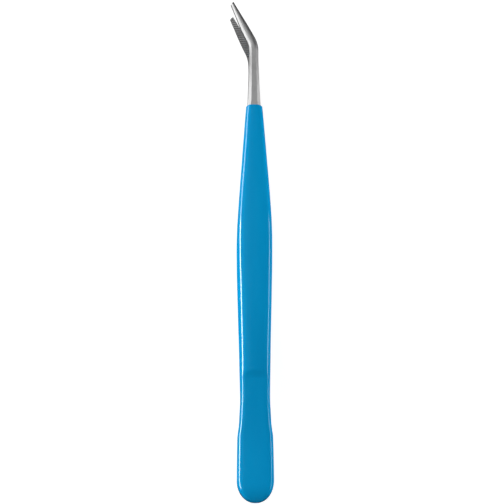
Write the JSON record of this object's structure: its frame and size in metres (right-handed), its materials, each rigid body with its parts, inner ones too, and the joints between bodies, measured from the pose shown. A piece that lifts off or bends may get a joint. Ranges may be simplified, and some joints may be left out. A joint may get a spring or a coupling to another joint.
{
  "type": "precision tweezers",
  "caption": "Bent-nose hobby tweezers with serrated steel jaws and a dipped blue vinyl grip.",
  "frame": {"origin": "on the flat back of the rear grip, on the centre line, halfway between the butt and the tips", "axes": "+Y from the butt to the tips, +Z from the rear arm to the front arm, and the jaws bend towards -X"},
  "size_m": [0.0127, 0.16, 0.0142],
  "materials": {
    "vinyl": "glossy dipped soft vinyl, bright blue",
    "steel": "satin stainless steel, ground along its length"
  },
  "bodies": {
    "heel": {"heel_boot": "vinyl", "front_blade_root": "steel", "rear_blade_root": "steel", "spot_weld_1": "steel", "spot_weld_2": "steel"},
    "front_arm": {"front_blade": "steel", "front_sleeve": "vinyl"},
    "rear_arm": {"rear_blade": "steel", "rear_sleeve": "vinyl"}
  },
  "joints": [
    {"name": "front_squeeze", "type": "hinge", "parent": "heel", "child": "front_arm", "pos_m": [0, -0.0419, 0.01004], "axis": [-1, 0, 0], "range_deg": [0, 2.27], "stiffness_Nm_per_rad": 3},
    {"name": "rear_squeeze", "type": "hinge", "parent": "heel", "child": "rear_arm", "pos_m": [0, -0.0419, 0.00416], "axis": [1, 0, 0], "range_deg": [0, 2.27], "stiffness_Nm_per_rad": 3}
  ]
}
